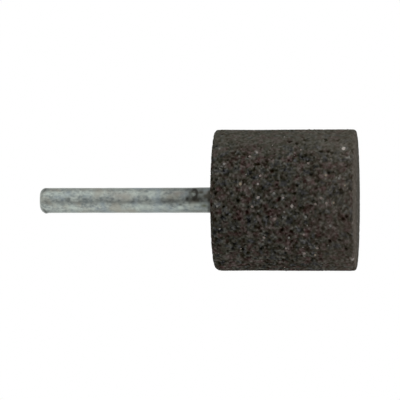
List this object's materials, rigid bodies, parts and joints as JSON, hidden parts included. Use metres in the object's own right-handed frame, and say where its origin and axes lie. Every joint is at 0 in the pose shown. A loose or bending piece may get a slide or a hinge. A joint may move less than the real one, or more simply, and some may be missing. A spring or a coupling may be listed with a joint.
{
  "type": "mounted point",
  "caption": "Cylindrical mounted grinding point: a coarse dark abrasive head cemented onto a plain round steel shank.",
  "frame": {"origin": "centre of the flat free end face of the abrasive head, on which the part stands", "axes": "+Z along the axis, from the head towards the tip of the shank; X and Y are free, because the part is round"},
  "size_m": [0.034, 0.034, 0.076],
  "materials": {
    "abrasive": "matte",
    "shank_steel": "satin",
    "cement": "matte"
  },
  "bodies": {
    "root": {"abrasive_head": "abrasive", "shank": "shank_steel", "bond_cement": "cement"}
  },
  "joints": []
}
